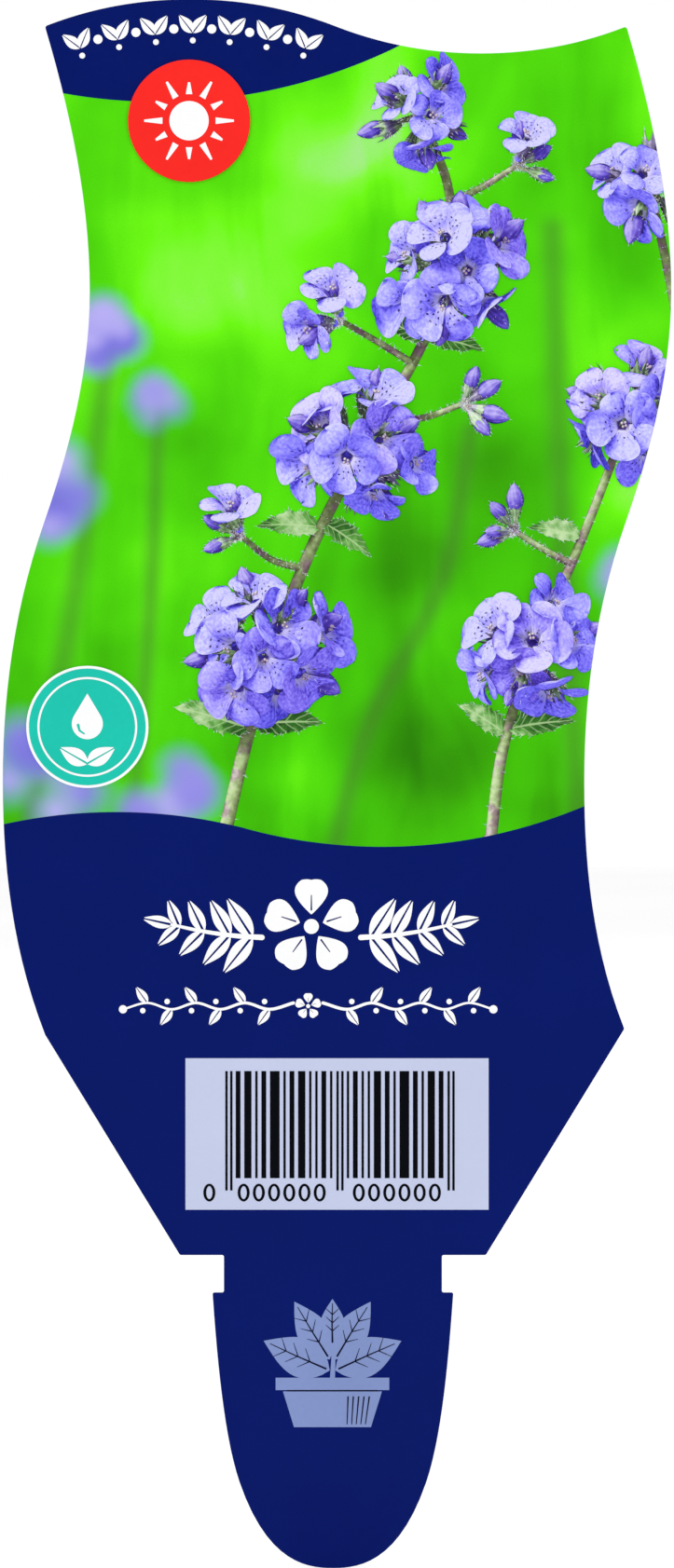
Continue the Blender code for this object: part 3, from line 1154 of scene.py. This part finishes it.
def press_flat(model, ring, nearest, farthest):
    """Presses a model into the picture's thin relief and trims it to the picture's outline."""
    flat = model.points[:, [0, 2]]
    inside = inside_ring(flat, ring)
    kept = inside[model.faces]
    kept = kept.all(1) if model.finish == "hair" else kept.any(1)
    if not kept.any():
        return
    used, faces = np.unique(model.faces[kept], return_inverse=True)
    flat[~inside] = nearest_on_ring(flat[~inside], ring)
    height = (farthest - model.points[:, 1]) / (farthest - nearest) * PICTURE_RELIEF
    y = layer_y(GROUND_LEVEL + 0.5) - height
    spots = np.column_stack([flat[:, 0] * MM, y, flat[:, 1] * MM])[used].tolist()
    faces = faces.reshape(-1, model.faces.shape[1]).tolist()
    marks = {key: values[used] for key, values in dict(model.marks, lit=model.lit).items()}
    keep_piece(model.name, spots, faces, model.finish, **marks).data.shade_smooth()


def soft_step(value):
    value = np.clip(value, 0, 1)
    return value * value * (3 - 2 * value)


def ground_net(outline):
    """A fine net of points and triangles over the picture's outline."""
    ring = np.array(outline)
    xs, zs = (np.arange(low, high, GROUND_PITCH) for low, high in zip(ring.min(0), ring.max(0)))
    net = np.array([(x, z) for z in zs for x in xs])
    net = net[inside_ring(net, ring)]
    apart = np.array([((ring - spot) ** 2).sum(1).min() for spot in net])
    net = net[apart > (0.5 * GROUND_PITCH) ** 2]
    return triangles_inside([*ring, *net], ring_sides(0, len(ring)), [[outline]])


def picture_ground(outline):
    """The out-of-focus ground, whose soft shapes are drawn into its net of points."""
    points, faces = ground_net(outline)
    x, z = points[:, 0], points[:, 1]
    tone = 0.6 + 0.0028 * (z - 90) - 0.001 * x
    lights = (
        (4, 120, 10, 8, 0.16), (26, 120, 8, 9, -0.2), (24, 102, 9, 8, 0.16), (-14, 104, 10, 9, 0.2),
        (4, 100, 6, 8, 0.12), (-20, 76, 9, 8, 0.2), (20, 84, 9, 7, -0.16), (-4, 52, 8, 5, 0.14),
        (28, 56, 7, 5, 0.08), (8, 76, 6, 5, -0.16), (12, 54, 9, 6, -0.26), (-16, 90, 7, 5, -0.08),
        (26, 70, 7, 6, -0.08), (-12, 70, 6, 5, -0.06), (34, 83, 6, 4, 0.42), (-22, 64, 8, 6, -0.04),
        (32, 108, 5, 6, -0.14), (12, 68, 5, 4, 0.12),
    )
    for cx, cz, wide, tall, amount in lights:
        tone += amount * np.exp(-(((x - cx) / wide) ** 2) - ((z - cz) / tall) ** 2)
    chance = random.Random(5)
    violet = np.zeros(len(x))
    shade = np.full(len(x), 0.5)
    blurred_blossoms = (
        (-25.5, 101.0, 4.6, 1.6, 1.0), (-31.0, 83.0, 5.2, 2.2, 0.95), (-31.5, 52.5, 6.2, 2.4, 0.95),
        (-18.5, 50.5, 5.0, 2.0, 0.9), (-19.0, 93.0, 2.8, 1.8, 0.7), (33.5, 73.0, 4.0, 2.0, 0.85),
    )
    for cx, cz, size, soft, amount in blurred_blossoms:
        for _ in range(8):
            turn, reach = chance.uniform(0, tau), size * chance.uniform(0.25, 0.75)
            px, pz = cx + reach * cos(turn), cz + reach * sin(turn)
            radius = size * chance.uniform(0.3, 0.5)
            cover = soft_step((radius + soft - np.hypot(x - px, (z - pz) * 1.1)) / (2 * soft)) * amount
            violet = 1 - (1 - violet) * (1 - cover)
            level = chance.uniform(0.25, 0.95) + 0.05 * (z - pz) / radius
            shade += (level - shade) * cover
    blurred_stems = (
        (((-34, 44), (-30, 62), (-27, 80), (-24.5, 99)), 1.3),
        (((0, 44), (4, 58), (12, 74), (15, 90)), 1.1),
        (((27, 46), (25, 80), (24, 112)), 1.4),
        (((-22, 46), (-20, 70), (-19, 94)), 1.0),
    )
    stems = np.zeros(len(x))
    for knots, wide in blurred_stems:
        line = smooth_path(knots, 240)
        near = np.hypot(x[:, None] - line[:, 0], z[:, None] - line[:, 1]).min(1)
        stems = np.maximum(stems, 0.5 * np.exp(-((near / wide) ** 2)))
    y = layer_y(GROUND_LEVEL)
    spots = [(px * MM, y, pz * MM) for px, pz in points]
    marks = {"tone": tone, "violet": violet, "violet_tone": shade, "stem": stems}
    keep_piece("picture_ground", spots, faces.tolist(), "ground", **marks)


def picture():
    """The whole picture: its ground and its plants."""
    outline = picture_outline()
    picture_ground(outline)
    models = picture_models()
    light_models(models)
    depths = np.concatenate([model.points[:, 1] for model in models])
    for model in models:
        press_flat(model, np.array(outline), depths.min(), depths.max())


def stage_finish():
    """A pale, matt studio floor."""
    finish = Finish("studio_floor", specular=0.1)
    colour = finish.ramp(finish.noise(3, 3), (0.3, 247, 247, 248), (0.7, 252, 252, 252))
    finish.feed(finish.shader, {
        "Base Color": colour, "Roughness": 0.8,
        "Emission Color": WHITE_LIGHT, "Emission Strength": FLOOR_GLOW,
    })
    return finish.owner


def studio_world():
    """White surroundings, with a strength of their own for light, for the camera and for gloss."""
    world = bpy.data.worlds.new("studio_world")
    bpy.context.scene.world = world
    nodes = Nodes(world)
    camera_ray, gloss_ray = (
        nodes.node("LightPath", output, {}) for output in ("Is Camera Ray", "Is Glossy Ray")
    )
    seen = {"Value": camera_ray, "To Min": SKY_LIGHT, "To Max": SKY_SEEN}
    mirrored_sky = {"Value": gloss_ray, "To Min": nodes.node("MapRange", 0, seen), "To Max": SKY_MIRRORED}
    strength = nodes.node("MapRange", 0, mirrored_sky)
    nodes.feed(nodes.tree.nodes["Background"], {"Color": WHITE_LIGHT, "Strength": strength})


def studio():
    """A pale floor at the tongue's tip, and soft light from both sides and behind."""
    floor_place = (0, 0, sheet_low[2] - 0.05 * MM)
    bpy.ops.mesh.primitive_circle_add(vertices=96, radius=4.0, fill_type="NGON", location=floor_place)
    floor = bpy.context.object
    floor.name = "studio_floor"
    floor.data.materials.append(stage_finish())
    target = Vector((0.0, 0.0, (sheet_low[2] + sheet_high[2]) / 2))
    lamps = (
        ("key_lamp", (-0.9, -1.1, 0.95), 1.6),
        ("fill_lamp", (1.1, -0.9, 0.6), 0.7),
        ("back_lamp", (0.5, 1.2, 1.0), 1.8),
    )
    for name, spot, power in lamps:
        lamp = bpy.data.lights.new(name, "AREA")
        lamp.shape = "DISK"
        lamp.size = LAMP_SIZE
        lamp.energy = power
        holder = new_object(name, lamp)
        holder.location = spot
        holder.rotation_euler = (target - Vector(spot)).to_track_quat("-Z", "Y").to_euler()
    studio_world()
    bpy.context.scene.view_settings.view_transform = "Standard"


def camera():
    """A long lens straight in front, so that the label fills the picture as photographed."""
    data = bpy.data.cameras.new("camera")
    data.lens = 100
    data.sensor_width = 36
    data.clip_start = 0.01
    data.clip_end = 50
    width, height = PHOTO_PIXELS
    distance = height * PIXEL_SIZE / 2 / (data.sensor_width / 2 / data.lens)
    across = (width / 2 - ORIGIN_PIXEL[0]) * PIXEL_SIZE
    up = (ORIGIN_PIXEL[1] - height / 2) * PIXEL_SIZE
    view = new_object("camera", data)
    view.location = (across, sheet_low[1] - distance, up)
    view.rotation_euler = (pi / 2, 0.0, 0.0)
    bpy.context.scene.camera = view


camera()
studio()
sheet.data.materials.clear()
sheet.data.materials.append(stock_finish())
navy_fields()
picture()
band_garland()
red_sun()
teal_drop()
title_sprig()
subtitle_line()
bar_panel()
tongue_seedling()
back_marks()
